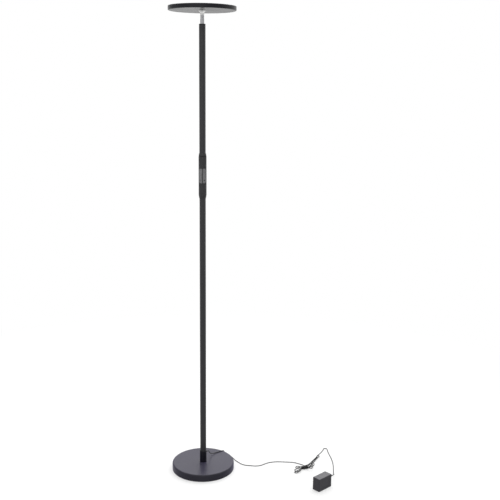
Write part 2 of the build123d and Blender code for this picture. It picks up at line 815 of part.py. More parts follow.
# Diffuser: the frosted disc that closes the pan
with BuildPart() as diffuser:
    with BuildSketch(Plane.XY.offset(ledge_top)):
        Circle(pan_bore - panel_gap)
    extrude(amount=diffuser_thickness)
diffuser.part.label = "diffuser"
export_step(diffuser.part, "parts/diffuser.step")

# Top ring: the black hoop that holds the diffuser down
with BuildPart() as top_ring:
    with BuildSketch(Plane.XY.offset(ring_bottom)):
        Circle(head_radius)
        Circle(head_radius - ring_cover, mode=Mode.SUBTRACT)
    extrude(amount=ring_height)
    fillet(top_ring.edges().group_by(Axis.Z)[-1], ring_edge_radius)
top_ring.part.label = "top_ring"
export_step(top_ring.part, "parts/top_ring.step")

# Wall adapter case: the front half, an open box with a shallow blank panel on its face
adapter_plane = Plane(
    origin=(*adapter_corner, 0), x_dir=Vector(1, 0, 0).rotate(Axis.Z, adapter_turn), z_dir=(0, 0, 1)
)
with BuildPart() as adapter_blank:
    Box(adapter_length, adapter_depth, adapter_height, align=LOW_CORNER)
    fillet(adapter_blank.edges(), adapter_edge_radius)

seam_plane = Plane(
    origin=adapter_plane.from_local_coords(Vector(0, adapter_front_depth, 0)),
    x_dir=adapter_plane.x_dir,
    z_dir=-adapter_plane.y_dir,
)
inner_size = (
    adapter_length - 2 * adapter_wall,
    adapter_depth - 2 * adapter_wall,
    adapter_height - 2 * adapter_wall,
)
with BuildPart(adapter_plane) as adapter_case:
    add(adapter_blank.part)
    split(bisect_by=seam_plane, keep=Keep.TOP)
    with Locations((adapter_wall, adapter_wall, adapter_wall)):
        Box(*inner_size, align=LOW_CORNER, mode=Mode.SUBTRACT)
    with Locations((adapter_length / 2, 0, adapter_height / 2)):
        Box(face_recess[0], 2 * face_recess[1], face_recess[2], mode=Mode.SUBTRACT)
    with Locations((adapter_length, relief_inset, relief_height)):
        Cylinder(
            relief_neck_radius + seat_gap, 4 * adapter_wall, rotation=(0, 90, 0), mode=Mode.SUBTRACT
        )
adapter_case.part.label = "adapter_case"
export_step(adapter_case.part, "parts/adapter_case.step")

# Adapter cover: the rear half, slotted for the two prongs
prong_heights = (
    adapter_height / 2 - prong_spacing / 2,
    adapter_height / 2 + prong_spacing / 2,
)
with BuildPart(adapter_plane) as adapter_cover:
    add(adapter_blank.part)
    split(bisect_by=seam_plane, keep=Keep.BOTTOM)
    with Locations((adapter_wall, adapter_wall, adapter_wall)):
        Box(*inner_size, align=LOW_CORNER, mode=Mode.SUBTRACT)
    with Locations(*[(prong_from_end, adapter_depth, height) for height in prong_heights]):
        Box(
            prong_width + 2 * seat_gap, 4 * adapter_wall, prong_thickness + 2 * seat_gap,
            mode=Mode.SUBTRACT,
        )
adapter_cover.part.label = "adapter_cover"
export_step(adapter_cover.part, "parts/adapter_cover.step")

# Prongs: two flat blades with their round holes, flanged inside the cover
prong_inside = adapter_depth - adapter_wall
with BuildPart(adapter_plane) as adapter_prongs:
    for height in prong_heights:
        with Locations((prong_from_end, prong_inside, height)):
            Box(
                prong_width, prong_length + adapter_wall, prong_thickness,
                align=(Align.CENTER, Align.MIN, Align.CENTER),
            )
            Box(
                prong_width + 2.0, prong_root, prong_thickness + 2.0,
                align=(Align.CENTER, Align.MAX, Align.CENTER),
            )
        with Locations((prong_from_end, adapter_depth + 0.75 * prong_length, height)):
            Cylinder(prong_hole_radius, 2 * prong_thickness, mode=Mode.SUBTRACT)
adapter_prongs.part.label = "adapter_prongs"
export_step(adapter_prongs.part, "parts/adapter_prongs.step")

# Adapter inside: the board with its transformer behind and its capacitor in front
board_face = adapter_front_depth - adapter_board_gap
board_length = inner_size[0] - relief_lip_thickness - 3
with BuildPart(adapter_plane) as adapter_board:
    with Locations((adapter_wall + 1, board_face, adapter_wall + 1)):
        Box(board_length, board_thickness, inner_size[2] - 2, align=LOW_CORNER)
adapter_board.part.label = "adapter_board"
export_step(adapter_board.part, "parts/adapter_board.step")

with BuildPart(adapter_plane) as adapter_transformer:
    with Locations((transformer_from_end, board_face + board_thickness, adapter_height / 2)):
        Box(*transformer_size, align=(Align.CENTER, Align.MIN, Align.CENTER))
adapter_transformer.part.label = "adapter_transformer"
export_step(adapter_transformer.part, "parts/adapter_transformer.step")

with BuildPart(adapter_plane) as adapter_capacitor:
    with Locations((capacitor_from_end, board_face - capacitor_radius, adapter_height / 2)):
        Cylinder(capacitor_radius, capacitor_length, rotation=(0, 90, 0))
adapter_capacitor.part.label = "adapter_capacitor"
export_step(adapter_capacitor.part, "parts/adapter_capacitor.step")

# Strain relief: a ribbed rubber boot clipped into the end of the case
relief_root = adapter_plane.from_local_coords(Vector(adapter_length, relief_inset, relief_height))
relief_plane = Plane(origin=relief_root, x_dir=(0, 0, 1), z_dir=adapter_plane.x_dir)
groove_pitch = relief_length / (relief_groove_count + 1.5)
with BuildPart() as adapter_relief:
    with BuildSketch(relief_plane.offset(-adapter_wall - relief_lip_thickness)):
        Circle(relief_lip_radius)
    extrude(amount=relief_lip_thickness)
    with BuildSketch(relief_plane.offset(-adapter_wall)):
        Circle(relief_neck_radius)
    extrude(amount=adapter_wall)
    with BuildSketch(relief_plane):
        Circle(relief_root_radius)
    with BuildSketch(relief_plane.offset(relief_length)):
        Circle(relief_tip_radius)
    loft()
    for groove in range(1, relief_groove_count + 1):
        along = groove * groove_pitch
        skin = relief_root_radius + (relief_tip_radius - relief_root_radius) * along / relief_length
        with BuildSketch(relief_plane.offset(along)):
            Circle(2 * relief_root_radius)
            Circle(max(skin - relief_groove_depth, cord_radius + 0.2), mode=Mode.SUBTRACT)
        extrude(amount=relief_groove_width, mode=Mode.SUBTRACT)
adapter_relief.part.label = "adapter_relief"
export_step(adapter_relief.part, "parts/adapter_relief.step")


def heading(degrees):
    """Level direction at an angle from +X towards +Y."""
    return Vector(1, 0, 0).rotate(Axis.Z, degrees)


def cord_radii(points):
    """One radius for each inner point of a route, as large as the two runs beside it allow."""
    radii = []
    for before, corner, after in zip(points, points[1:], points[2:]):
        shorter_run = min((corner - before).length, (after - corner).length)
        turn = (corner - before).get_angle(after - corner)
        radii.append(0.45 * shorter_run / math.tan(math.radians(turn / 2)))
    return radii


def print_tube(piece, route, radii):
    """Report a cord's length, its tightest bends, and its volume against section times length."""
    volume = math.pi * cord_radius**2 * route.length
    print(piece.label, "length", round(route.length, 1), "volume ratio", round(piece.volume / volume, 5))
    print("  radii", [round(radius, 1) for radius in radii])


# Cord to the hank: out of the grommet, over the back of the base, and along the floor
outlet_tip = outlet_direction * grommet_tip + Vector(0, 0, outlet_height)
hank_entry = Vector(380, 41, floor_line)
entry_heading = -30.0
first_points = [
    outlet_tip,
    outlet_tip + outlet_direction * 8.5,
    Vector(21.6, 30.2, 55.5),
    Vector(24.4, 38.5, 45.8),
    Vector(29, 48.6, 37.6),
    Vector(36.8, 60.5, 32.6),
    Vector(47, 71.5, 30.7),
    Vector(60, 81.5, 30.2),
    Vector(73, 90.8, 30.3),
    Vector(83, 97.5, 29.2),
    Vector(91, 102.5, 22),
    Vector(98, 105, 12.5),
    Vector(104.5, 102.5, 5),
    Vector(111, 95.5, 1.9),
    Vector(116.5, 85, floor_line),
    Vector(121, 74.5, floor_line),
    Vector(127, 64, floor_line),
    Vector(134, 53.6, floor_line),
    Vector(141.6, 43.2, floor_line),
    Vector(150, 32.8, floor_line),
    Vector(159.5, 24.6, floor_line),
    Vector(171.5, 19.4, floor_line),
    Vector(189.6, 16.5, floor_line),
    Vector(212, 13.5, floor_line),
    Vector(230, 18.3, floor_line),
    Vector(246, 32, floor_line),
    Vector(262.8, 45, floor_line),
    Vector(279, 50.5, floor_line),
    Vector(300, 54, floor_line),
    Vector(328, 52, floor_line),
    Vector(352, 51, floor_line),
    hank_entry - heading(entry_heading) * 14,
    hank_entry,
]
first_radii = cord_radii(first_points)
with BuildPart() as cord_to_hank:
    with BuildLine() as first_route:
        FilletPolyline(*first_points, radius=first_radii)
    with BuildSketch(Plane(origin=outlet_tip, z_dir=outlet_direction)):
        Circle(cord_radius)
    sweep(path=first_route.wire())
cord_to_hank.part.label = "cord_to_hank"
print_tube(cord_to_hank.part, first_route.wire(), first_radii)
export_step(cord_to_hank.part, "parts/cord_to_hank.step")


# Cord hank: one unbroken tube that passes the tie eight times between loops of uneven reach
def pass_tie(column, row, side):
    """Two stations that take a strand straight through the tie, rightward for side 1, leftward for -1."""
    across = heading(waist_heading + 90) * (column * column_step)
    middle = hank_centre + across + Vector(0, 0, first_row_height + row * row_step)
    step = heading(waist_heading) * (side * waist_half_length)
    way = waist_heading if side > 0 else waist_heading + 180
    return [(middle - step, way), (middle + step, way)]


def hank_loop(root, way, reach, half_width, tip_height, side_height, neck=None):
    """Stations of one loop: out on its left, round the tip, and back on its right."""
    out = heading(way)
    left = heading(way + 90)
    shoulder = root + out * (reach - 1.15 * half_width) + Vector(0, 0, side_height)
    stations = [
        (shoulder + left * half_width, way),
        (root + out * reach + Vector(0, 0, tip_height), way - 90),
        (shoulder - left * half_width, way - 180),
    ]
    if neck:
        throat = root + out * neck[0] + Vector(0, 0, neck[2])
        stations.insert(0, (throat + left * neck[1], way))
        stations.append((throat - left * neck[1], way - 180))
    return stations


right_root = hank_centre + heading(waist_heading) * right_root_shift
exit_way = 62.0
exit_bend = 2.0
exit_side = heading(exit_way + 90)
exit_lane = right_root + Vector(0, 0, floor_line)
exit_heading = exit_way - exit_bend
hank_last = exit_lane + heading(exit_way) * 132 + exit_side * 7.2
hank_exit = hank_last + heading(exit_heading) * cord_diameter
hank_stations = [
    (hank_entry, entry_heading),
    (hank_entry + heading(entry_heading) * cord_diameter, entry_heading),
    (Vector(408, 17.5, 11), -45),
    (Vector(430, 3, 13.2), -20),
    (Vector(439.5, -8, 11.8), -105),
    (Vector(428, -13, 12.4), 180),
    *pass_tie(0, 3, -1),
    *hank_loop(hank_centre, 183, 38, 10.5, 9.9, 10.6),
    *pass_tie(1, 2, 1),
    *hank_loop(right_root, 38, 48, 7.0, 6.2, 7.6),
    *pass_tie(-1, 2, -1),
    *hank_loop(hank_centre, 205, 45, 11.5, 5.4, 6.2),
    *pass_tie(1, 1, 1),
    *hank_loop(right_root, 62, 130, 3.4, 1.7, 1.7, neck=(24, 3.6, 4.9)),
    *pass_tie(-1, 1, -1),
    *hank_loop(hank_centre, 232, 46, 9.5, 1.8, 2.0),
    *pass_tie(0, 0, 1),
    (exit_lane + heading(exit_way) * 26 + exit_side * 7.4, exit_way),
    (exit_lane + heading(exit_way) * 80 + exit_side * 7.8, exit_way),
    (hank_last, exit_heading),
    (hank_exit, exit_heading),
]


def station_tangents(stations):
    """Unit direction at each station: its heading, with the slope that its neighbours' heights give."""
    tangents = []
    last = len(stations) - 1
    for index, (point, way) in enumerate(stations):
        slope = 0.0
        if 1 < index < last - 1:
            before = stations[index - 1][0]
            after = stations[index + 1][0]
            run = math.dist((before.X, before.Y), (point.X, point.Y))
            run += math.dist((point.X, point.Y), (after.X, after.Y))
            slope = (after.Z - before.Z) / run
        tangents.append((heading(way) + Vector(0, 0, slope)).normalized())
    return tangents


def biarc_middle(start, start_way, end, end_way):
    """Point and direction where two arcs meet that leave start and reach end along their directions."""
    chord = end - start
    both = start_way + end_way
    spread = 2 * (1 - start_way.dot(end_way))
    if spread < 1e-9:
        reach = chord.dot(chord) / (4 * chord.dot(end_way))
    else:
        along = chord.dot(both)
        reach = (math.sqrt(along**2 + spread * chord.dot(chord)) - along) / spread
    first_corner = start + start_way * reach
    second_corner = end - end_way * reach
    return (first_corner + second_corner) * 0.5, (second_corner - first_corner).normalized()


def least_gap(edges, step):
    """Least air between strands of the tube, measured on points along its line."""
    points = []
    travelled = 0.0
    for edge in edges:
        count = max(2, math.ceil(edge.length / step))
        for index in range(count):
            spot = edge @ (index / count)
            points.append((travelled + edge.length * index / count, (spot.X, spot.Y, spot.Z)))
        travelled += edge.length
    gaps = [
        math.dist(one, other)
        for index, (here, one) in enumerate(points)
        for there, other in points[index + 1:]
        if there - here > 4 * cord_diameter
    ]
    return min(gaps) - cord_diameter


hank_tangents = station_tangents(hank_stations)
with BuildPart() as cord_hank:
    with BuildLine() as hank_route:
        for index in range(len(hank_stations) - 1):
            start = hank_stations[index][0]
            end = hank_stations[index + 1][0]
            start_way = hank_tangents[index]
            end_way = hank_tangents[index + 1]
            if start_way.cross(end - start).length < 1e-6:
                Line(start, end)
            else:
                middle, middle_way = biarc_middle(start, start_way, end, end_way)
                TangentArc(start, middle, tangent=start_way)
                TangentArc(middle, end, tangent=middle_way)
    with BuildSketch(Plane(origin=hank_entry, z_dir=hank_tangents[0])):
        Circle(cord_radius)
    sweep(path=hank_route.wire())
cord_hank.part.label = "cord_hank"
hank_bends = [edge.radius for edge in hank_route.edges() if edge.geom_type == GeomType.CIRCLE]
print_tube(cord_hank.part, hank_route.wire(), sorted(hank_bends)[:6])
print("  least gap", round(least_gap(hank_route.edges(), 1.0), 2))
export_step(cord_hank.part, "parts/cord_hank.step")

# Cord tie: a soft band round the hank's waist
tie_plane = Plane(
    origin=hank_centre, x_dir=heading(waist_heading + 90), z_dir=heading(waist_heading)
)
tie_bottom = first_row_height - cord_radius - 0.3
tie_top = first_row_height + 3 * row_step + cord_radius + 0.3
with BuildPart() as cord_tie:
    with BuildSketch(tie_plane):
        with Locations((0, (tie_bottom + tie_top) / 2)):
            RectangleRounded(
                2 * (tie_half_opening + tie_thickness),
                tie_top - tie_bottom + 2 * tie_thickness,
                tie_corner_radius + tie_thickness,
            )
            RectangleRounded(
                2 * tie_half_opening, tie_top - tie_bottom, tie_corner_radius, mode=Mode.SUBTRACT
            )
    extrude(amount=tie_width / 2, both=True)
cord_tie.part.label = "cord_tie"
export_step(cord_tie.part, "parts/cord_tie.step")

# Cord to the adapter: one long bight away from the lamp, then back and up to the strain relief
relief_tip = relief_root + adapter_plane.x_dir * relief_length
bight_centre = Vector(505, 173, floor_line)
bight_radius = 8.0
bight_turns = 5
bight = [
    bight_centre + heading(152 - 36 * turn) * bight_radius
    for turn in range(bight_turns)
]
second_points = [
    hank_exit,
    hank_exit + heading(exit_heading) * 14,
    Vector(485.4, 143, floor_line),
    Vector(491.3, 156, floor_line),
    Vector(495.3, 165.6, floor_line),
    Vector(497.2, 171.8, floor_line),
    *bight,
    Vector(513.4, 166.5, floor_line),
    Vector(513.6, 156, floor_line),
    Vector(514.6, 142, floor_line),
    Vector(516.6, 126, floor_line),
    Vector(519.6, 106, floor_line),
    Vector(522.4, 83.5, floor_line),
    Vector(524.2, 60, floor_line),
    Vector(524.6, 37, floor_line),
    Vector(523.6, 12.5, floor_line),
    Vector(521.4, -13, floor_line),
    Vector(519.2, -34, floor_line),
    Vector(517.8, -50, 3.6),
    Vector(516.8, -66, 9.6),
    Vector(515.8, -81.5, 17.2),
    Vector(514.6, -95, 24.6),
    Vector(513.4, -107, 31),
    relief_tip + adapter_plane.x_dir * 9,
    relief_tip,
]
second_radii = cord_radii(second_points)
with BuildPart() as cord_to_adapter:
    with BuildLine() as second_route:
        FilletPolyline(*second_points, radius=second_radii)
    with BuildSketch(Plane(origin=hank_exit, z_dir=heading(exit_heading))):
        Circle(cord_radius)
    sweep(path=second_route.wire())
cord_to_adapter.part.label = "cord_to_adapter"
print_tube(cord_to_adapter.part, second_route.wire(), second_radii)
export_step(cord_to_adapter.part, "parts/cord_to_adapter.step")

cord_length = first_route.wire().length + hank_route.wire().length + second_route.wire().length
print("cord length", round(cord_length, 1))
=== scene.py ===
"""Torchiere floor lamp: a satin black uplight on a slim pole, with its tied cord and wall adapter.

Metres, +Z up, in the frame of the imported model. The keys face -Y and the cord lies towards +X.
"""
import math

import bpy
from mathutils import Matrix, Vector


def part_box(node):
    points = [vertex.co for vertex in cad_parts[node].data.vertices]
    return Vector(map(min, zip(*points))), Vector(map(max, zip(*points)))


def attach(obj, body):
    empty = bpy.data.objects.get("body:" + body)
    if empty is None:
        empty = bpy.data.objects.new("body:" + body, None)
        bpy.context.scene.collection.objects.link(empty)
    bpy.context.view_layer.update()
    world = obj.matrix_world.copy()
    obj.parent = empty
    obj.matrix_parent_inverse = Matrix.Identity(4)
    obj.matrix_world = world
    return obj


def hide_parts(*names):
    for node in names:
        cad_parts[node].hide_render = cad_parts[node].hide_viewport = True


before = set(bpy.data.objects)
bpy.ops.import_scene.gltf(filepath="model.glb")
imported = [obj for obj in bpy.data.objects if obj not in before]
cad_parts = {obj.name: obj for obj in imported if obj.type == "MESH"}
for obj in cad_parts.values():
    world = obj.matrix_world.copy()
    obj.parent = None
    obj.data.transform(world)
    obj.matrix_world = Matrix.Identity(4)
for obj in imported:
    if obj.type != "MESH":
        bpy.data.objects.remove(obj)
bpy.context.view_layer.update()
bpy.ops.object.select_all(action="DESELECT")


# Base weight: a disc of grey iron, cast in sand and left rough.
# It lies inside the base and is clamped between the cover and the bolt's washers.
class Socket:
    """An output of a node tree. Arithmetic on it adds Math nodes to the same tree."""

    def __init__(self, nodes, output):
        self.nodes = nodes
        self.output = output

    def maths(self, operation, first, second):
        return self.nodes.node("ShaderNodeMath", {"operation": operation}, {0: first, 1: second})

    def __add__(self, other):
        return self.maths("ADD", self, other)

    __radd__ = __add__

    def __sub__(self, other):
        return self.maths("SUBTRACT", self, other)

    def __rsub__(self, other):
        return self.maths("SUBTRACT", other, self)

    def __mul__(self, other):
        return self.maths("MULTIPLY", self, other)

    __rmul__ = __mul__

    def __gt__(self, other):
        return self.maths("GREATER_THAN", self, other)

    def __lt__(self, other):
        return self.maths("LESS_THAN", self, other)

    def __abs__(self):
        return self.maths("ABSOLUTE", self, 0.0)

    def most(self, other):
        """The larger of two values."""
        return self.maths("MAXIMUM", self, other)

    def ramp(self, low, high):
        """This value spread from 0 at low to 1 at high."""
        limits = {"Value": self, "From Min": low, "From Max": high}
        return self.nodes.node("ShaderNodeMapRange", {}, limits)


class Nodes:
    """A node tree and the ways that its nodes are added."""

    def __init__(self, tree):
        self.tree = tree

    def node(self, kind, settings, inputs, output=0):
        """Adds a node, sets it up, feeds its sockets, and returns one of its outputs."""
        made = self.tree.nodes.new(kind)
        for key, value in settings.items():
            setattr(made, key, value)
        for key, value in inputs.items():
            if isinstance(value, Socket):
                self.tree.links.new(value.output, made.inputs[key])
            else:
                made.inputs[key].default_value = value
        return Socket(self, made.outputs[output])

    def vector(self, operation, first, second, output=0):
        """Adds one step of vector arithmetic."""
        inputs = {0: first, 1: second}
        return self.node("ShaderNodeVectorMath", {"operation": operation}, inputs, output)

    def place(self, centre=(0, 0, 0), stretch=(1, 1, 1)):
        """Object coordinates measured from a centre and stretched along the axes."""
        coordinates = self.node("ShaderNodeTexCoord", {}, {}, "Object")
        return self.vector("MULTIPLY", self.vector("SUBTRACT", coordinates, centre), stretch)

    def along(self, direction, centre=(0, 0, 0)):
        """Distance from a centre, measured along a direction."""
        return self.vector("DOT_PRODUCT", self.place(centre), direction, "Value")

    def noise(self, scale, detail=2.0, stretch=(1, 1, 1)):
        """Even noise with a number of features in a metre."""
        inputs = {"Vector": self.place(stretch=stretch), "Scale": scale, "Detail": detail}
        return self.node("ShaderNodeTexNoise", {}, inputs)

    def mix(self, mask, first, second):
        """Two colours mixed by a mask. Each is a socket or a red, green and blue."""
        colours = [tone if isinstance(tone, Socket) else (*tone, 1) for tone in (first, second)]
        inputs = {0: mask, 6: colours[0], 7: colours[1]}
        return self.node("ShaderNodeMix", {"data_type": "RGBA"}, inputs, "Result")


class Finish(Nodes):
    """A material on one Principled shader. What is even all over is set on the shader's own sockets."""

    def __init__(self, name, **even):
        self.material = bpy.data.materials.new(name)
        self.material.use_nodes = True
        super().__init__(self.material.node_tree)
        self.shader = self.tree.nodes["Principled BSDF"]
        for socket, value in even.items():
            self.shader.inputs[socket.replace("_", " ")].default_value = value

    def feed(self, **sockets):
        """Links values to the shader's sockets."""
        for name, value in sockets.items():
            self.tree.links.new(value.output, self.shader.inputs[name.replace("_", " ")])

    def bump(self, height, depth):
        """Raises the surface by a height from 0 to 1, times a depth in metres."""
        normal = self.node("ShaderNodeBump", {}, {"Height": height, "Distance": depth}, "Normal")
        self.feed(Normal=normal)

    def dress(self, *names):
        """Puts this finish on the named pieces."""
        for name in names:
            data = bpy.data.objects[name].data
            data.materials.clear()
            data.materials.append(self.material)


def grained(name, dark, light, grain, depth, gloss, stretch=(1, 1, 1), **even):
    """A finish with one grain in its colour, its roughness and its surface.

    The grain counts features in a metre, the depth is in metres, and the gloss is two roughnesses.
    """
    finish = Finish(name, **even)
    pattern = finish.noise(grain, detail=4, stretch=stretch)
    finish.feed(
        Base_Color=finish.mix(pattern.ramp(0.3, 0.7), dark, light),
        Roughness=gloss[0] + (gloss[1] - gloss[0]) * pattern,
    )
    finish.bump(pattern, depth)
    return finish


cast_iron = grained(
    "cast_iron",
    (0.06, 0.055, 0.05),
    (0.17, 0.165, 0.16),
    grain=350,
    depth=0.0006,
    gloss=(0.5, 0.8),
    Metallic=0.85,
)
cast_iron.dress("base_weight")

# Base tray and pads: a black floor of moulded plastic, ribbed up to the weight, that closes the base.
# Six round pads of soft black foam rubber are stuck under it.
tray_plastic = grained(
    "tray_plastic",
    (0.018, 0.018, 0.02),
    (0.032, 0.032, 0.035),
    grain=1200,
    depth=0.00008,
    gloss=(0.5, 0.65),
)
tray_plastic.dress("base_tray")
pad_rubber = grained(
    "pad_rubber",
    (0.012, 0.012, 0.012),
    (0.03, 0.03, 0.03),
    grain=1600,
    depth=0.0002,
    gloss=(0.8, 0.95),
)
pad_rubber.dress("base_feet")

# Base bolt and washers: zinc-plated steel, a hexagon bolt with a plain and a split spring washer.
# The bolt pulls the pole down onto the cover from below.
zinc = grained(
    "zinc_plate",
    (0.42, 0.43, 0.45),
    (0.58, 0.58, 0.57),
    grain=260,
    depth=0.00005,
    gloss=(0.3, 0.5),
    Metallic=1.0,
)
zinc.dress("base_bolt", "base_washer", "spring_washer")


# Base cover: a disc of spun steel sheet with a rounded rim, in satin black paint baked on as powder.
# The paint has a fine orange peel and a faint blue haze.
# Its gloss is patchy where it has been wiped.
def painted(name, dark, light, gloss, peel, **even):
    """Powder paint: orange peel about a millimetre across, wiped patches and a little dust.

    The gloss is two roughnesses, and the peel is a depth in metres.
    """
    dust_colour = (0.2, 0.2, 0.2)
    paint = Finish(name, **even)
    orange_peel = paint.noise(850, detail=1.5)
    patches = paint.noise(14, detail=5).ramp(0.35, 0.7)
    dust = paint.noise(3200, detail=1).ramp(0.7, 0.8)
    paint.feed(
        Base_Color=paint.mix(dust * 0.25, paint.mix(patches, dark, light), dust_colour),
        Roughness=gloss[0] + (gloss[1] - gloss[0]) * patches + 0.15 * dust,
    )
    paint.bump(orange_peel, peel)
    return paint


base_paint = painted(
    "base_paint",
    (0.034, 0.033, 0.042),
    (0.040, 0.039, 0.049),
    gloss=(0.30, 0.38),
    peel=0.00002,
    Specular_IOR_Level=0.15,
    Sheen_Weight=0.14,
    Sheen_Tint=(0.4, 0.3, 1.0, 1.0),
    Sheen_Roughness=0.5,
)
base_paint.dress("base_cover")

# Pole: three lengths of black painted steel tube with a turned collar at the foot.
# A zinc-plated plug takes the bolt, and a zinc-plated coupler joins the two lower tubes inside.
zinc.dress("pole_insert", "pole_coupler")
tube_paint = painted(
    "tube_paint",
    (0.019, 0.019, 0.022),
    (0.023, 0.023, 0.027),
    gloss=(0.36, 0.46),
    peel=0.00002,
    Specular_IOR_Level=0.5,
)
tube_paint.dress("lower_pole", "middle_pole", "upper_pole")
collar_paint = painted(
    "collar_paint",
    (0.006, 0.0055, 0.011),
    (0.009, 0.0085, 0.016),
    gloss=(0.30, 0.38),
    peel=0.00002,
    Specular_IOR_Level=0.3,
)
collar_paint.dress("foot_collar")

# Cord grommet: a soft black rubber bush pushed through the collar and the tube.
# Its tapered nose keeps the cord from kinking where it leaves the pole.
bush_rubber = grained(
    "bush_rubber",
    (0.008, 0.008, 0.009),
    (0.018, 0.018, 0.019),
    grain=900,
    depth=0.00008,
    gloss=(0.55, 0.75),
)
bush_rubber.dress("cord_grommet")

# Control sleeve: two moulded half shells of black plastic with a fine spark-eroded grain.
# They grip both tubes and are screwed together from behind with two zinc-plated screws.
# A groove runs round them near the top, and painted shade darkens it.
GROOVE_HEIGHT = 1.2468
GROOVE_WIDTH = 0.0026
sleeve_plastic = Finish("sleeve_plastic", Specular_IOR_Level=0.35)
sleeve_grain = sleeve_plastic.noise(2200, detail=4)
groove = abs(sleeve_plastic.along((0, 0, 1), (0, 0, GROOVE_HEIGHT))) < GROOVE_WIDTH / 2
sleeve_colour = sleeve_plastic.mix(
    sleeve_grain.ramp(0.3, 0.7), (0.036, 0.036, 0.038), (0.045, 0.045, 0.048)
)
sleeve_plastic.feed(
    # The groove band's near-black colour is painted shade, not a dark material.
    Base_Color=sleeve_plastic.mix(groove, sleeve_colour, (0.008, 0.008, 0.009)),
    Roughness=0.42 + 0.14 * sleeve_grain + 0.3 * groove,
)
sleeve_plastic.bump(sleeve_grain, 0.00006)
sleeve_plastic.dress("sleeve_front", "sleeve_rear")
zinc.dress("sleeve_screws")

# Control board: green glass-fibre board with tinned tracks, two tact switches and two plug blocks.
# It stands on rails inside the rear shell, and each switch sits behind one key.
circuit = Finish("circuit_board", Specular_IOR_Level=0.5)
tracks = circuit.node(
    "ShaderNodeTexWave",
    {"bands_direction": "DIAGONAL"},
    {"Vector": circuit.place(), "Scale": 60.0, "Distortion": 6.0, "Detail": 0.0},
    "Fac",
)
track_mask = tracks.ramp(0.72, 0.78)
circuit.feed(
    Base_Color=circuit.mix(track_mask, (0.008, 0.075, 0.030), (0.03, 0.16, 0.07)),
    Roughness=0.45 - 0.15 * track_mask,
)
circuit.bump(track_mask, 0.00004)
circuit.dress("control_board")
component_black = grained(
    "component_black",
    (0.012, 0.012, 0.013),
    (0.022, 0.022, 0.024),
    grain=700,
    depth=0.00002,
    gloss=(0.25, 0.4),
)
component_black.dress("key_switches")
plug_nylon = grained(
    "plug_nylon",
    (0.62, 0.61, 0.56),
    (0.72, 0.71, 0.67),
    grain=900,
    depth=0.00003,
    gloss=(0.4, 0.55),
)
plug_nylon.dress("board_plugs")

# Keys: two tall caps of mid grey plastic, curved with the sleeve, that press straight back.
# A dark ring is printed low on one and a dark dot low on the other.
# Painted shade darkens the slit between them.
SLIT_SHADE = (0.0008, 0.0032)
MARK_HEIGHT = 0.012
MARK_RADIUS = 0.0021
MARK_LINE = 0.0007
key_plastic = Finish("key_plastic", Specular_IOR_Level=0.4)
key_grain = key_plastic.noise(1800, detail=3)
key_shine = key_plastic.noise(90, detail=3).ramp(0.4, 0.7)
key_low, key_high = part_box("key_right")
mark_x = (key_low.x + key_high.x) / 2
mark_z = key_low.z + MARK_HEIGHT
from_dot = key_plastic.vector(
    "LENGTH", key_plastic.place((mark_x, 0, mark_z), (1, 0, 1)), (0, 0, 0), "Value"
)
from_ring = key_plastic.vector(
    "LENGTH", key_plastic.place((-mark_x, 0, mark_z), (1, 0, 1)), (0, 0, 0), "Value"
)
dot = from_dot < MARK_RADIUS
ring = abs(from_ring - MARK_RADIUS) < MARK_LINE / 2
marks = dot.most(ring)
key_colour = key_plastic.mix(key_grain.ramp(0.3, 0.7), (0.25, 0.25, 0.256), (0.29, 0.29, 0.296))
# Painted shade: the keys' colour darkens towards the slit between them.
from_slit = abs(key_plastic.along((1, 0, 0))).ramp(*SLIT_SHADE)
slit_shaded_colour = key_plastic.mix(from_slit, (0.09, 0.09, 0.094), key_colour)
key_plastic.feed(
    Base_Color=key_plastic.mix(marks, slit_shaded_colour, (0.03, 0.03, 0.033)),
    Roughness=0.5 - 0.14 * key_shine + 0.1 * key_grain,
)
key_plastic.bump(key_grain, 0.00003)
key_plastic.dress("key_left", "key_right")

# Pole cap: a black turned bush that closes the pole and carries the turning neck.
# It is pushed into the tube and has a small round on its upper edge.
cap_plastic = grained(
    "cap_plastic",
    (0.006, 0.006, 0.007),
    (0.011, 0.011, 0.012),
    grain=500,
    depth=0.00003,
    gloss=(0.4, 0.5),
    stretch=(1, 1, 8),
    Specular_IOR_Level=0.3,
)
cap_plastic.dress("pole_cap")

# Neck: a chromed steel bar that turns in the cap, forked at the top for the head's tongue.
# A nut holds it inside the pole, and a pin with two nylon friction washers makes the tilting joint.
chrome = Finish("chrome", Metallic=1.0)
smudges = chrome.noise(120, detail=4).ramp(0.45, 0.75)
polish_lines = chrome.noise(700, detail=2, stretch=(1, 1, 12))
chrome.feed(
    Base_Color=chrome.mix(smudges, (0.35, 0.35, 0.36), (0.29, 0.29, 0.30)),
    Roughness=0.10 + 0.06 * smudges + 0.03 * polish_lines,
)
chrome.bump(polish_lines, 0.000006)
chrome.dress("neck_fork")
zinc.dress("neck_nut", "tilt_pin")
washer_nylon = grained(
    "washer_nylon",
    (0.55, 0.54, 0.5),
    (0.68, 0.67, 0.63),
    grain=1500,
    depth=0.00003,
    gloss=(0.45, 0.6),
)
washer_nylon.dress("friction_washers")

# Head mount: a satin nickel tongue in the neck's fork, which flares out to a flange under the head.
# Three zinc-plated screws hold it from inside the pan.
satin_nickel = grained(
    "satin_nickel",
    (0.82, 0.82, 0.81),
    (0.92, 0.92, 0.91),
    grain=600,
    depth=0.00001,
    gloss=(0.3, 0.42),
    Metallic=1.0,
)
satin_nickel.dress("head_mount")
zinc.dress("mount_screws")

# Head pan and ring: a shallow cast aluminium dish and the hoop that holds its diffuser down.
# Both are in deep satin black paint, with a finer orange peel than the tube's.
head_paint = painted(
    "head_paint",
    (0.005, 0.0045, 0.009),
    (0.007, 0.0065, 0.012),
    gloss=(0.27, 0.33),
    peel=0.000012,
    Specular_IOR_Level=0.26,
)
head_paint.dress("head_pan", "top_ring")

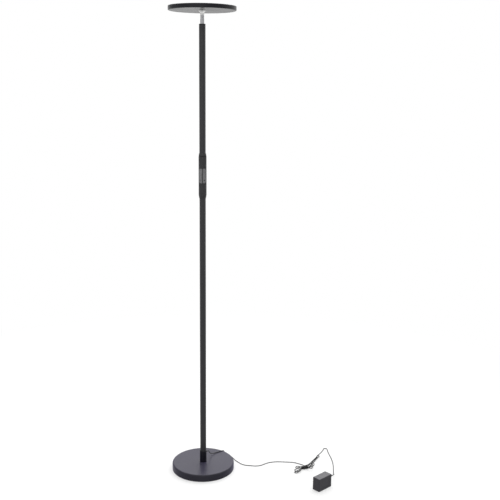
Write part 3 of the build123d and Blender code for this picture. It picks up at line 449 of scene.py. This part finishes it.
# Heat spreader: a plate of bare aluminium, rolled and blanked, on the pan's floor.
# The light board is glued to it with a white heat paste.
aluminium = grained(
    "bare_aluminium",
    (0.60, 0.60, 0.61),
    (0.78, 0.78, 0.79),
    grain=300,
    depth=0.00002,
    gloss=(0.25, 0.45),
    stretch=(1, 30, 1),
    Metallic=1.0,
)
aluminium.dress("heat_spreader")

# Light board: a white lacquered plate with two rings of yellow light chips soldered on.
# A nylon plug block on it takes the short white lead that rises out of the mount.
lacquer = grained(
    "white_lacquer",
    (0.74, 0.74, 0.72),
    (0.82, 0.82, 0.81),
    grain=400,
    depth=0.00002,
    gloss=(0.3, 0.42),
)
lacquer.dress("led_board")
phosphor = grained(
    "phosphor",
    (0.62, 0.45, 0.07),
    (0.78, 0.60, 0.14),
    grain=3000,
    depth=0.00005,
    gloss=(0.35, 0.5),
)
phosphor.dress("led_chips")
plug_nylon.dress("head_plug", "head_lead")

# Diffuser: a milky disc of opal acrylic with a matt upper face, off and so plain white.
# It lies on the pan's ledge under the ring.
opal = Finish("opal_acrylic", Specular_IOR_Level=0.5)
clouding = opal.noise(9, detail=3).ramp(0.3, 0.7)
frost = opal.noise(2600, detail=2)
opal.feed(
    Base_Color=opal.mix(clouding, (0.78, 0.78, 0.76), (0.82, 0.82, 0.81)),
    Roughness=0.42 + 0.2 * frost,
)
opal.bump(frost, 0.00002)
opal.dress("diffuser")

# Cord: black twin lead in a limp plastic jacket, 3 mm across, moulded into the grommet and the adapter.
# It crosses the base, runs along the floor to a tied hank, and goes on in a bight to the adapter.
CORD_DIAMETER = 0.003
FLOOR_LINE = 0.0017
OUTLET_HEADING = 50
OUTLET_REACH = 0.02085
OUTLET_HEIGHT = 0.063
OUTLET_STRAIGHT = 0.0085
ENTRY_HEADING = -30
HANK_LEAD = 0.014


def heading(degrees):
    """Level direction at an angle from +X towards +Y."""
    return Vector((math.cos(math.radians(degrees)), math.sin(math.radians(degrees)), 0))


outlet_way = heading(OUTLET_HEADING)
outlet_tip = outlet_way * OUTLET_REACH + Vector((0, 0, OUTLET_HEIGHT))
hank_entry = Vector((0.380, 0.041, FLOOR_LINE))
first_run = [
    outlet_tip,
    outlet_tip + outlet_way * OUTLET_STRAIGHT,
    (0.0216, 0.0302, 0.0555),
    (0.0244, 0.0385, 0.0458),
    (0.0290, 0.0486, 0.0376),
    (0.0368, 0.0605, 0.0326),
    (0.0470, 0.0715, 0.0307),
    (0.0600, 0.0815, 0.0302),
    (0.0730, 0.0908, 0.0303),
    (0.0783, 0.0952, 0.0290),
    (0.0818, 0.0978, 0.0210),
    (0.0885, 0.1015, 0.0110),
    (0.0960, 0.1035, 0.0050),
    (0.1038, 0.1018, 0.0022),
    (0.1108, 0.0955, FLOOR_LINE),
    (0.1165, 0.0850, FLOOR_LINE),
    (0.1210, 0.0745, FLOOR_LINE),
    (0.1270, 0.0640, FLOOR_LINE),
    (0.1340, 0.0536, FLOOR_LINE),
    (0.1416, 0.0432, FLOOR_LINE),
    (0.1500, 0.0328, FLOOR_LINE),
    (0.1595, 0.0246, FLOOR_LINE),
    (0.1715, 0.0194, FLOOR_LINE),
    (0.1896, 0.0165, FLOOR_LINE),
    (0.2120, 0.0135, FLOOR_LINE),
    (0.2300, 0.0183, FLOOR_LINE),
    (0.2460, 0.0320, FLOOR_LINE),
    (0.2628, 0.0450, FLOOR_LINE),
    (0.2790, 0.0505, FLOOR_LINE),
    (0.3000, 0.0540, FLOOR_LINE),
    (0.3280, 0.0520, FLOOR_LINE),
    (0.3520, 0.0510, FLOOR_LINE),
    hank_entry - heading(ENTRY_HEADING) * HANK_LEAD,
    hank_entry,
]

WAIST_HEADING = 12
WAIST_HALF_LENGTH = 0.006
RIGHT_ROOT_REACH = 0.009
COLUMN_STEP = 0.0025
ROW_STEP = 0.0036
FIRST_ROW_HEIGHT = 0.0026
hank_centre = Vector((0.404, -0.008, 0))
right_root = hank_centre + heading(WAIST_HEADING) * RIGHT_ROOT_REACH


def pass_tie(column, row, side):
    """Two stations that take a strand straight through the tie: side is 1 for rightward, or else -1."""
    across = heading(WAIST_HEADING + 90) * (column * COLUMN_STEP)
    middle = hank_centre + across + Vector((0, 0, FIRST_ROW_HEIGHT + row * ROW_STEP))
    step = heading(WAIST_HEADING) * (side * WAIST_HALF_LENGTH)
    way = WAIST_HEADING if side > 0 else WAIST_HEADING + 180
    return [(middle - step, way), (middle + step, way)]


def hank_loop(root, way, reach, half_width, tip_z, side_z, runs=()):
    """Stations of one loop: out on its left, round the tip, and back on its right.

    A long loop also has runs, each a distance out, a half width and a height.
    """
    out = heading(way)
    left = heading(way + 90)
    shoulder = (reach - half_width, half_width, side_z)
    lefts = []
    rights = []
    for far, wide, high in [*runs, shoulder]:
        lefts.append((root + out * far + left * wide + Vector((0, 0, high)), way))
        rights.append((root + out * far - left * wide + Vector((0, 0, high)), way - 180))
    tip = root + out * reach + Vector((0, 0, tip_z))
    return [*lefts, (tip, way - 90), *reversed(rights)]


EXIT_WAY = 62
EXIT_HEADING = 60
EXIT_REACH = 0.132
EXIT_ASIDE = 0.0072
exit_out = heading(EXIT_WAY)
exit_side = heading(EXIT_WAY + 90)
exit_lane = right_root + Vector((0, 0, FLOOR_LINE))
exit_steps = [(0.026, -0.0068), (0.070, 0.0031), (0.110, 0.0022)]
hank_last = exit_lane + exit_out * EXIT_REACH + exit_side * EXIT_ASIDE
hank_exit = hank_last + heading(EXIT_HEADING) * CORD_DIAMETER
long_runs = [(0.024, 0.0053, 0.0049), (0.068, 0.0043, 0.0046), (0.112, 0.0034, 0.0050)]
hank_stations = [
    (hank_entry, ENTRY_HEADING),
    (hank_entry + heading(ENTRY_HEADING) * CORD_DIAMETER, ENTRY_HEADING),
    (Vector((0.4068, 0.0128, 0.0050)), -70),
    (Vector((0.4314, 0.0162, 0.0126)), 15),
    (Vector((0.4386, 0.0018, 0.0086)), -115),
    (Vector((0.4302, -0.0204, 0.0118)), 190),
    *pass_tie(column=0, row=3, side=-1),
    *hank_loop(hank_centre, way=194, reach=0.0346, half_width=0.0058, tip_z=0.0104, side_z=0.0138),
    *pass_tie(column=1, row=2, side=1),
    *hank_loop(right_root, way=51, reach=0.0484, half_width=0.0086, tip_z=0.0090, side_z=0.0044),
    *pass_tie(column=-1, row=2, side=-1),
    *hank_loop(hank_centre, way=221, reach=0.0476, half_width=0.0109, tip_z=0.0086, side_z=0.0082),
    *pass_tie(column=1, row=1, side=1),
    *hank_loop(
        right_root,
        way=62,
        reach=0.1242,
        half_width=0.0047,
        tip_z=0.0056,
        side_z=0.0054,
        runs=long_runs,
    ),
    *pass_tie(column=-1, row=1, side=-1),
    *hank_loop(hank_centre, way=222, reach=0.0512, half_width=0.0059, tip_z=0.0036, side_z=0.0030),
    *pass_tie(column=0, row=0, side=1),
    *[(exit_lane + exit_out * far + exit_side * aside, EXIT_WAY) for far, aside in exit_steps],
    (hank_last, EXIT_HEADING),
    (hank_exit, EXIT_HEADING),
]


def station_tangents(stations):
    """Unit direction at each station: its heading, with the slope that its neighbours' heights give."""
    tangents = []
    last = len(stations) - 1
    for index, (point, way) in enumerate(stations):
        slope = 0.0
        if 1 < index < last - 1:
            before = stations[index - 1][0]
            after = stations[index + 1][0]
            run = (point.xy - before.xy).length + (after.xy - point.xy).length
            slope = (after.z - before.z) / run
        tangents.append((heading(way) + Vector((0, 0, slope))).normalized())
    return tangents


def loop_corners(stations):
    """Control points of the loops: two between stations, on the directions that those set."""
    tangents = station_tangents(stations)
    corners = []
    for index in range(1, len(stations) - 2):
        start, end = stations[index][0], stations[index + 1][0]
        start_way, end_way = tangents[index], tangents[index + 1]
        chord = end - start
        along = chord.dot(start_way + end_way)
        spread = 2 * (1 - start_way.dot(end_way))
        if spread < 1e-6:
            reach = chord.length_squared / (2 * along)
        else:
            reach = (math.sqrt(along**2 + spread * chord.length_squared) - along) / spread
        corners += [start + start_way * reach, end - end_way * reach]
    return corners


ADAPTER_HEADING = 44
ADAPTER_LENGTH = 0.071
RELIEF_INSET = 0.012
RELIEF_HEIGHT = 0.035
RELIEF_LENGTH = 0.017
RELIEF_STRAIGHT = 0.009
adapter_way = heading(ADAPTER_HEADING)
adapter_side = heading(ADAPTER_HEADING + 90)
adapter_corner = Vector((0.4493, -0.1940, 0))
relief_foot = adapter_corner + adapter_way * ADAPTER_LENGTH + adapter_side * RELIEF_INSET
relief_root = relief_foot + Vector((0, 0, RELIEF_HEIGHT))
relief_tip = relief_root + adapter_way * RELIEF_LENGTH
BIGHT_RADIUS = 0.008
BIGHT_HEADINGS = (152, 116, 80, 44, 8)
bight_centre = Vector((0.505, 0.173, FLOOR_LINE))
second_run = [
    hank_exit,
    hank_exit + heading(EXIT_HEADING) * HANK_LEAD,
    (0.4854, 0.1430, FLOOR_LINE),
    (0.4913, 0.1560, FLOOR_LINE),
    (0.4953, 0.1656, FLOOR_LINE),
    (0.4972, 0.1718, FLOOR_LINE),
    *[bight_centre + heading(way) * BIGHT_RADIUS for way in BIGHT_HEADINGS],
    (0.5134, 0.1665, FLOOR_LINE),
    (0.5136, 0.1560, FLOOR_LINE),
    (0.5146, 0.1420, FLOOR_LINE),
    (0.5166, 0.1260, FLOOR_LINE),
    (0.5196, 0.1060, FLOOR_LINE),
    (0.5224, 0.0835, FLOOR_LINE),
    (0.5242, 0.0600, FLOOR_LINE),
    (0.5246, 0.0370, FLOOR_LINE),
    (0.5236, 0.0125, FLOOR_LINE),
    (0.5214, -0.0130, FLOOR_LINE),
    (0.5192, -0.0340, FLOOR_LINE),
    (0.5178, -0.0500, 0.0036),
    (0.5168, -0.0660, 0.0096),
    (0.5158, -0.0815, 0.0172),
    (0.5146, -0.0950, 0.0246),
    (0.5134, -0.1070, 0.0310),
    relief_tip + adapter_way * RELIEF_STRAIGHT,
    relief_tip,
]

route = first_run + loop_corners(hank_stations) + second_run
cord_line = bpy.data.curves.new("cord", "CURVE")
cord_line.dimensions = "3D"
cord_line.resolution_u = 6
cord_line.bevel_depth = 1
cord_line.bevel_resolution = 4
cord_line.use_fill_caps = True
strand = cord_line.splines.new("NURBS")
strand.points.add(len(route) - 1)
for control, point in zip(strand.points, route):
    control.co = (*point, 1)
    control.radius = CORD_DIAMETER / 2
strand.order_u = 3
strand.use_endpoint_u = True
cord = bpy.data.objects.new("cord", cord_line)
bpy.context.scene.collection.objects.link(cord)
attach(cord, "stand")
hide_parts("cord_to_hank", "cord_hank", "cord_to_adapter")

jacket = Finish("cord_jacket", Specular_IOR_Level=0.35)
jacket_grain = jacket.noise(1400, detail=3)
jacket_dust = jacket.noise(70, detail=4).ramp(0.4, 0.75)
jacket.feed(
    Base_Color=jacket.mix(jacket_dust, (0.006, 0.006, 0.007), (0.013, 0.013, 0.014)),
    Roughness=0.36 + 0.14 * jacket_dust + 0.08 * jacket_grain,
)
jacket.bump(jacket_grain, 0.00003)
jacket.dress("cord", "lower_lead", "upper_lead")

# Cord tie: a black plastic strip with a wire core, closed round the hank's waist and twisted shut.
# Its two ends stand out as one twisted tail on top.
TIE_HALF_WIDTH = 0.0045
TIE_HALF_HEIGHT = 0.0072
TIE_MIDDLE = 0.0080
TIE_WIDTH = 0.004
TIE_THICKNESS = 0.0006
TAIL_WIDTH = TIE_WIDTH * 0.7
TAIL_LENGTH = 0.013
TAIL_TURNS = 2.5
TAIL_ASIDE = 0.0006
TAIL_RISE = 0.0012
TAIL_AHEAD = 0.0062
TAIL_SWING = 14
SMOOTH_ANGLE = 35
bpy.ops.mesh.primitive_circle_add(vertices=40, radius=1, fill_type="NOTHING")
band = bpy.context.object
band.name = "twist_tie"
bpy.ops.object.mode_set(mode="EDIT")
bpy.ops.transform.resize(value=(TIE_HALF_WIDTH, TIE_HALF_HEIGHT, 1))
bpy.ops.transform.translate(value=(0, 0, -TIE_WIDTH / 2))
bpy.ops.mesh.extrude_edges_move(TRANSFORM_OT_translate={"value": (0, 0, TIE_WIDTH)})
bpy.ops.mesh.select_all(action="SELECT")
bpy.ops.mesh.normals_make_consistent(inside=False)
bpy.ops.object.mode_set(mode="OBJECT")
wall = band.modifiers.new("wall", "SOLIDIFY")
wall.thickness = TIE_THICKNESS
wall.offset = 1
edge = band.modifiers.new("edge", "BEVEL")
edge.width = TIE_THICKNESS / 4
edge.segments = 2
bpy.ops.object.modifier_apply(modifier="wall")
bpy.ops.object.modifier_apply(modifier="edge")

bpy.ops.mesh.primitive_cube_add(size=1)
tail = bpy.context.object
tail.name = "tie_tail"
bpy.ops.object.mode_set(mode="EDIT")
bpy.ops.transform.resize(value=(TAIL_WIDTH, TIE_THICKNESS * 2, TAIL_LENGTH))
bpy.ops.mesh.subdivide(number_cuts=15)
bpy.ops.object.mode_set(mode="OBJECT")
twist = tail.modifiers.new("twist", "SIMPLE_DEFORM")
twist.deform_method = "TWIST"
twist.deform_axis = "Z"
twist.angle = TAIL_TURNS * 2 * math.pi
bpy.ops.object.modifier_apply(modifier="twist")
tail_place = Matrix.Translation((TAIL_ASIDE, TIE_HALF_HEIGHT + TAIL_RISE, TAIL_AHEAD))
tail.data.transform(tail_place @ Matrix.Rotation(math.radians(TAIL_SWING), 4, "Y"))
upright = Matrix(((0, 0, 1, 0), (1, 0, 0, 0), (0, 1, 0, 0), (0, 0, 0, 1)))
tie_turn = Matrix.Rotation(math.radians(WAIST_HEADING), 4, "Z")
tie_place = Matrix.Translation(hank_centre + Vector((0, 0, TIE_MIDDLE))) @ tie_turn @ upright
for piece in (band, tail):
    piece.data.transform(tie_place)
    bpy.context.view_layer.objects.active = piece
    bpy.ops.object.select_all(action="DESELECT")
    piece.select_set(True)
    bpy.ops.object.shade_smooth_by_angle(angle=math.radians(SMOOTH_ANGLE))
    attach(piece, "stand")
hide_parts("cord_tie")
tie_plastic = grained(
    "tie_plastic",
    (0.010, 0.010, 0.011),
    (0.020, 0.020, 0.022),
    grain=1500,
    depth=0.00004,
    gloss=(0.35, 0.5),
)
tie_plastic.dress("twist_tie", "tie_tail")

# Wall adapter: two moulded halves of black plastic with a fine grain, welded at a seam round it.
# The wide face has a shallow bare panel, and two nickel-plated prongs stand out of the other.
SEAM_DEPTH = 0.020
SEAM_WIDTH = 0.0009
case_plastic = Finish("case_plastic", Specular_IOR_Level=0.5)
case_grain = case_plastic.noise(1900, detail=3)
case_rub = case_plastic.noise(45, detail=4).ramp(0.45, 0.75)
from_seam = abs(case_plastic.along(adapter_side, adapter_corner + adapter_side * SEAM_DEPTH))
seam = 1 - from_seam.ramp(SEAM_WIDTH * 0.4, SEAM_WIDTH)
case_colour = case_plastic.mix(case_grain.ramp(0.3, 0.7), (0.024, 0.022, 0.031), (0.032, 0.030, 0.040))
case_plastic.feed(
    Base_Color=case_plastic.mix(seam, case_colour, (0.012, 0.012, 0.014)),
    Roughness=0.35 + 0.10 * case_grain - 0.05 * case_rub,
)
case_plastic.bump(case_grain * 0.2 - seam, 0.0002)
case_plastic.dress("adapter_case", "adapter_cover")
nickel = grained(
    "nickel_plate",
    (0.55, 0.54, 0.5),
    (0.68, 0.67, 0.63),
    grain=500,
    depth=0.00002,
    gloss=(0.18, 0.34),
    stretch=(8, 1, 1),
    Metallic=1.0,
)
nickel.dress("adapter_prongs")

# Adapter inside: a green board between the halves with a taped transformer and a sleeved capacitor.
# The ribbed rubber boot is clipped into the end wall and moulded onto the cord.
circuit.dress("adapter_board")
component_black.dress("adapter_transformer", "adapter_capacitor")
bush_rubber.dress("adapter_relief")

# Floor: a sweep of white paper under the lamp, matt, with a soft shadow near the base.
# It is white to the eye and a little dimmer near the lamp in reflections.
# It throws little light back on the lamp.
FLOOR_SIZE = 60
SHADOW_REACH = (0.9, 2.2)
SHADOW_SHARE = 0.55
SHADE_CENTRE = (0, -1, 0)
SHADE_REACH = (0.9, 6.0)
SHADE_LOSS = 0.4
BOUNCE_COLOUR = (0.12, 0.12, 0.12)


def ray(nodes, kind):
    """1 for a ray of one kind, such as Camera, and 0 for the others."""
    return nodes.node("ShaderNodeLightPath", {}, {}, f"Is {kind} Ray")


bpy.ops.mesh.primitive_plane_add(size=FLOOR_SIZE)
floor = bpy.context.object
floor.name = "floor"
bpy.ops.object.mode_set(mode="EDIT")
bpy.ops.mesh.subdivide(number_cuts=7)
bpy.ops.object.mode_set(mode="OBJECT")
paper = Finish("white_paper", Roughness=0.9, Specular_IOR_Level=0.0)
eye = ray(paper, "Camera")
mirror = ray(paper, "Glossy")
glass = ray(paper, "Transmission")
fibres = paper.noise(900, detail=4).ramp(0.3, 0.7)
seen_white = paper.mix(fibres, (0.97, 0.97, 0.97), (1.0, 1.0, 1.0))
paper.feed(Base_Color=paper.mix(eye, BOUNCE_COLOUR, seen_white))
from_lamp = paper.vector("LENGTH", paper.place(), (0, 0, 0), "Value")
faded = from_lamp.ramp(*SHADOW_REACH)
glow = paper.node("ShaderNodeEmission", {}, {"Color": (1, 1, 1, 1), "Strength": 1.0})
from_shade = paper.vector("LENGTH", paper.place(SHADE_CENTRE), (0, 0, 0), "Value")
lit = from_shade.ramp(*SHADE_REACH)
mirrored_white = mirror.most(glass) * (1 - SHADE_LOSS + SHADE_LOSS * lit)
white_share = (eye * (1 - SHADOW_SHARE + SHADOW_SHARE * faded)).most(mirrored_white)
surface = paper.node(
    "ShaderNodeMixShader", {}, {0: white_share, 1: Socket(paper, paper.shader.outputs[0]), 2: glow}
)
paper.tree.links.new(surface.output, paper.tree.nodes["Material Output"].inputs["Surface"])
paper.dress("floor")

# Light: a white studio with one broad light high at the back and two very soft ones at the front.
# The air is white to the eye, greyer at the front and left in reflections, and dim as a light.
SKY_LIGHT = 0.15
FRONT_LOSS = 0.68
DIM_SIDE = (-0.35, -0.94, 0)
DIM_REACH = (-0.7, 0.1)
world = bpy.data.worlds.new("studio")
bpy.context.scene.world = world
world.use_nodes = True
sky = Nodes(world.node_tree)
shown = ray(sky, "Camera")
mirrored = ray(sky, "Glossy")
through = ray(sky, "Transmission")
direction = sky.node("ShaderNodeTexCoord", {}, {}, "Generated")
facing = sky.vector("DOT_PRODUCT", direction, DIM_SIDE, "Value").ramp(*DIM_REACH)
studio = 1 - FRONT_LOSS * facing
strength = shown.most(mirrored.most(through) * studio).most(SKY_LIGHT)
background = world.node_tree.nodes["Background"]
background.inputs["Color"].default_value = (1, 1, 1, 1)
world.node_tree.links.new(strength.output, background.inputs["Strength"])


def softbox(name, strength, spread, elevation, bearing):
    """A far, broad light. Its bearing is measured from the front towards the right."""
    bpy.ops.object.light_add(type="SUN")
    lamp = bpy.context.object
    lamp.name = name
    lamp.data.energy = strength
    lamp.data.angle = math.radians(spread)
    lamp.rotation_euler = (math.radians(90 - elevation), 0, math.radians(bearing))


softbox("overhead_light", strength=2.5, spread=70, elevation=56, bearing=165)
softbox("front_light", strength=1.3, spread=120, elevation=15, bearing=-45)
softbox("fill_light", strength=1.2, spread=140, elevation=25, bearing=30)

# Camera: where the photograph was taken from, a little under head height and rolled by half a degree.
# Its place was fitted to the rims of the base and head, the pole and the adapter.
CAMERA_PLACE = (0.1791, -2.9909, 1.5076)
CAMERA_PITCH = 11.609
CAMERA_ROLL = 0.5588
PICTURE_WIDTH = 500
FOCAL_PIXELS = 805.4
SENSOR_WIDTH = 36
FAR_LIMIT = 200
bpy.ops.object.camera_add()
camera = bpy.context.object
camera.matrix_world = (
    Matrix.Translation(CAMERA_PLACE)
    @ Matrix.Rotation(math.radians(90 - CAMERA_PITCH), 4, "X")
    @ Matrix.Rotation(math.radians(CAMERA_ROLL), 4, "Z")
)
camera.data.sensor_width = SENSOR_WIDTH
camera.data.lens = SENSOR_WIDTH * FOCAL_PIXELS / PICTURE_WIDTH
camera.data.clip_end = FAR_LIMIT
bpy.context.scene.camera = camera
bpy.context.scene.view_settings.view_transform = "Standard"
